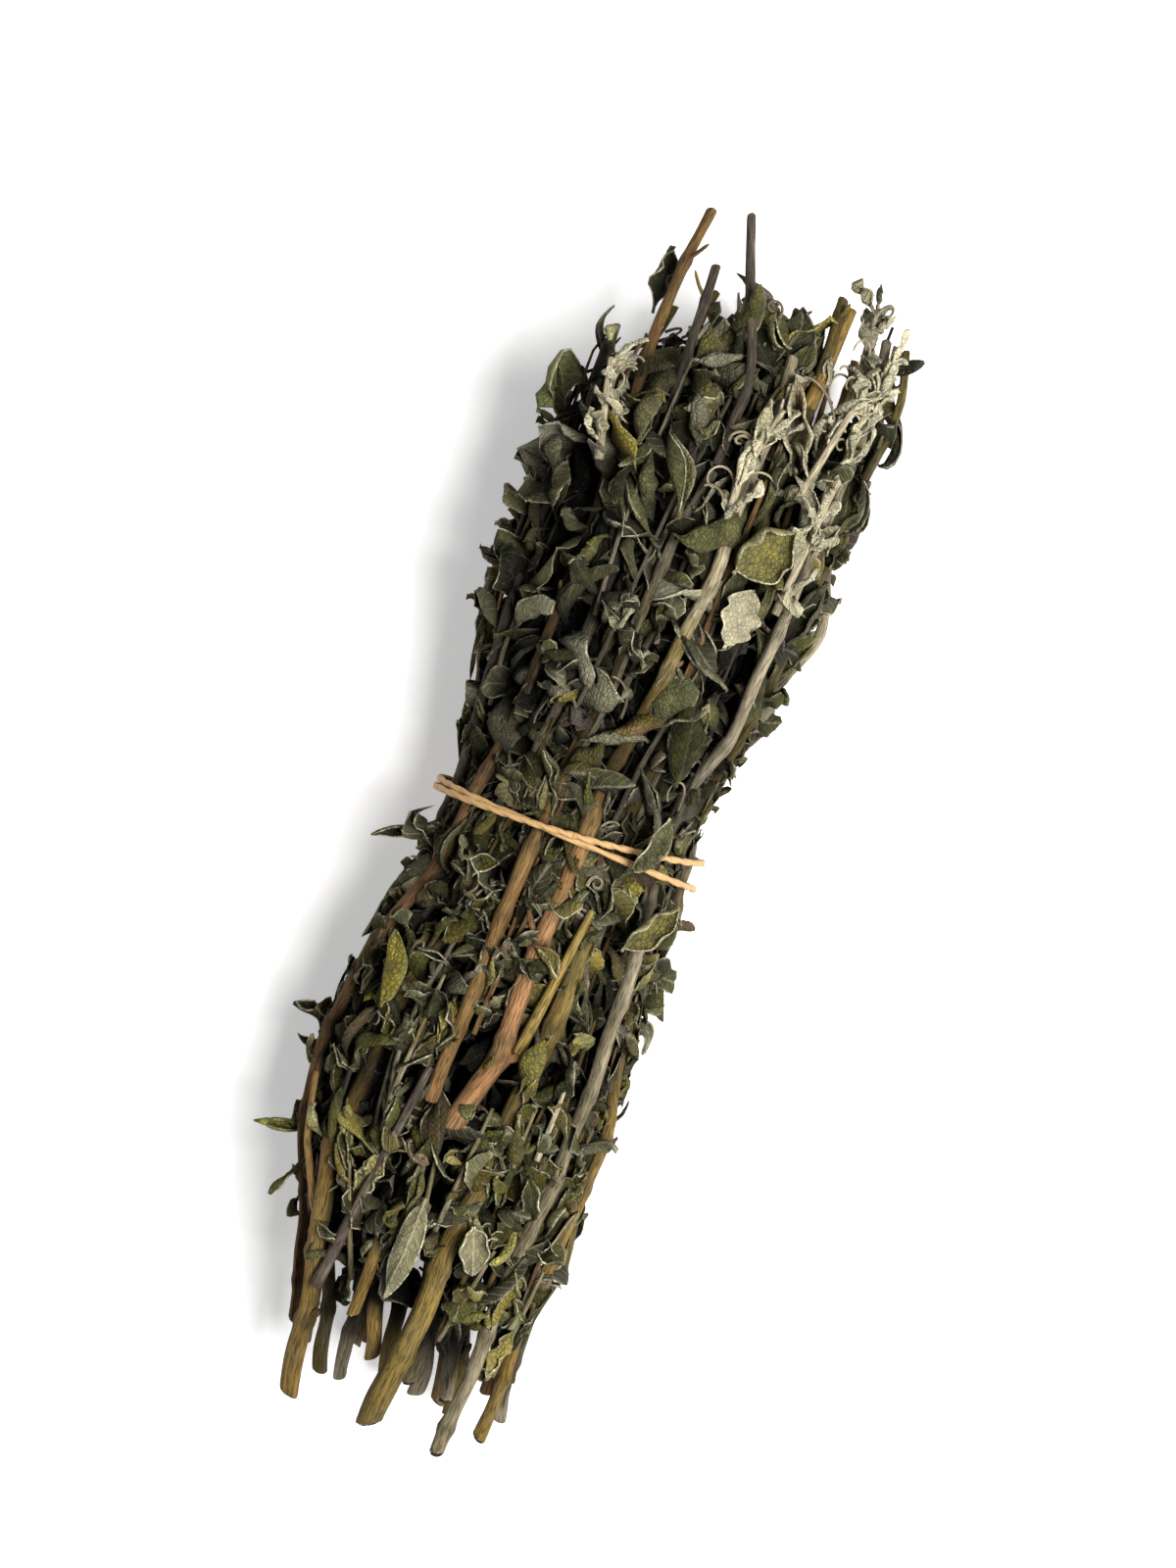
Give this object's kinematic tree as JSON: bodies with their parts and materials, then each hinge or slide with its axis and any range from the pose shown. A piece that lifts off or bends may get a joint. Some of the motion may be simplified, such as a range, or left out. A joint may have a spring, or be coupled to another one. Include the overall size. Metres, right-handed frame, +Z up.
{
  "type": "dried sage bundle",
  "caption": "Bundle of dried sage lying on its side: woody stems and curled grey-green leaves held round the waist by a twisted rubber band.",
  "frame": {"origin": "middle of the underside of the bounding box, on the surface that the bundle lies on", "axes": "+X along the bundle from the cut stem ends to the leaf tips, +Y across it, +Z up"},
  "size_m": [0.282, 0.0794, 0.0581],
  "materials": {
    "stem": "dry woody bark, ridged, ochre to reddish and purple brown, pale at the cut ends",
    "foliage": "masses of dried leaves, matte and pebbled, olive to grey-green and brown with pale felted undersides",
    "leaf": "single dried leaves, matte and felted, with raised pale veins and pale edges",
    "band": "pale tan natural rubber, semi-matte, twisted"
  },
  "bodies": {
    "root": {"foliage_01": "foliage", "foliage_02": "foliage", "foliage_03": "foliage", "foliage_04": "foliage", "foliage_05": "foliage", "foliage_06": "foliage", "foliage_07": "foliage", "foliage_08": "foliage", "foliage_09": "foliage", "foliage_10": "foliage", "foliage_11": "foliage", "foliage_12": "foliage", "foliage_13": "foliage", "foliage_14": "foliage", "foliage_15": "foliage", "foliage_16": "foliage", "foliage_17": "foliage", "foliage_18": "foliage", "foliage_19": "foliage", "foliage_20": "foliage", "foliage_21": "foliage", "foliage_22": "foliage", "foliage_23": "foliage", "foliage_24": "foliage", "leaf_cupped": "leaf", "leaf_dark": "leaf", "leaf_folded": "leaf", "leaf_grey": "leaf", "leaf_olive": "leaf", "leaf_over_band": "leaf", "leaf_round": "leaf", "leaf_veined": "leaf", "rubber_band": "band", "stem_01": "stem", "stem_02": "stem", "stem_03": "stem", "stem_04": "stem", "stem_05": "stem", "stem_06": "stem", "stem_07": "stem", "stem_08": "stem", "stem_09": "stem", "stem_10": "stem", "stem_11": "stem", "stem_12": "stem", "stem_13": "stem", "stem_14": "stem", "stem_15": "stem", "stem_16": "stem", "stem_17": "stem", "stem_18": "stem", "stem_19": "stem", "stem_20": "stem", "stem_21": "stem", "stem_22": "stem", "stem_23": "stem", "stem_24": "stem", "stem_short": "stem"}
  },
  "joints": []
}
